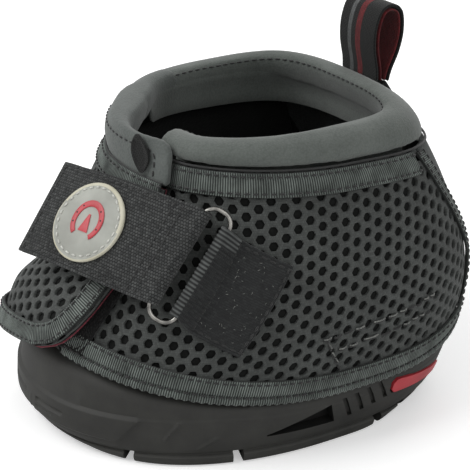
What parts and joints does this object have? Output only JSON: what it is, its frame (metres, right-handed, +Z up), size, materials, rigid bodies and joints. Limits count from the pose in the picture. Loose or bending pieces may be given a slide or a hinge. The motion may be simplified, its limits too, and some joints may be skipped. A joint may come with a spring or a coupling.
{
  "type": "hoof boot",
  "caption": "Pull-on boot for a horse's hoof: moulded sole, mesh upper with padded collar, hinged front flap, and a strap that closes over it through a wire link.",
  "frame": {"origin": "on the ground under the middle of the tread", "axes": "+Z up, toe towards -Y, heel towards +Y, +X to the side that carries the link and the anchor band"},
  "size_m": [0.1532, 0.1907, 0.1558],
  "materials": {
    "sole_rubber": "matt moulded rubber",
    "stiffener": "matt moulded sheet",
    "foam": "closed-cell foam with a cloth face",
    "mesh_cloth": "punched cloth laminate",
    "collar_cloth": "knit-faced stretch cloth",
    "tape_cloth": "ribbed binding tape",
    "black_cloth": "dull black cloth",
    "strap_cloth": "plain-woven webbing",
    "red_cloth": "dark red lining",
    "red_plastic": "moulded red",
    "patch_plastic": "moulded grey",
    "steel": "bright drawn wire"
  },
  "bodies": {
    "boot": {"outsole": "sole_rubber", "insole_pad": "foam", "sole_insert_right": "red_plastic", "sole_insert_left": "red_plastic", "right_side_panel": "mesh_cloth", "left_side_panel": "mesh_cloth", "rear_panel": "black_cloth", "heel_counter": "stiffener", "heel_pad": "foam", "right_liner": "black_cloth", "left_liner": "black_cloth", "hem_tape_right": "tape_cloth", "hem_tape_left": "tape_cloth", "collar_tape_right": "tape_cloth", "collar_tape_left": "tape_cloth", "heel_tape_right": "tape_cloth", "heel_tape_left": "tape_cloth", "collar_cover": "collar_cloth", "collar_foam": "foam", "pile_pad": "black_cloth", "anchor_band": "black_cloth", "pull_loop_tab": "black_cloth"},
    "link": {"strap_link": "steel"},
    "strap": {"front_strap": "strap_cloth", "strap_hook_pad": "black_cloth", "round_patch": "patch_plastic"},
    "flap": {"outer_front_flap": "mesh_cloth", "flap_lining": "red_cloth", "flap_binding": "tape_cloth", "flap_collar": "collar_cloth", "flap_collar_tape": "tape_cloth", "flap_leaf_patch": "strap_cloth"},
    "loop": {"pull_loop": "black_cloth", "pull_loop_lining": "red_cloth"}
  },
  "joints": [
    {"name": "link_swing", "type": "hinge", "parent": "boot", "child": "link", "pos_m": [0.05451, -0.03461, 0.07805], "axis": [0, 0.6029, 0.7978], "range_deg": [0, 25]},
    {"name": "strap_open", "type": "hinge", "parent": "link", "child": "strap", "pos_m": [0.04802, -0.04199, 0.08363], "axis": [0, 0.6029, 0.7978], "range_deg": [0, 125]},
    {"name": "flap_open", "type": "hinge", "parent": "boot", "child": "flap", "pos_m": [-0.05116, -0.05902, 0.03351], "axis": [-0.1241, -0.3722, -0.9198], "range_deg": [0, 32]},
    {"name": "loop_fold", "type": "hinge", "parent": "boot", "child": "loop", "pos_m": [0, 0.07694, 0.12285], "axis": [-1, 0, 0], "range_deg": [0, 35], "stiffness_Nm_per_rad": 0.01}
  ],
  "couplings": [
    {"joint": "flap_open", "follows": "strap_open", "ratio": 0.25}
  ]
}
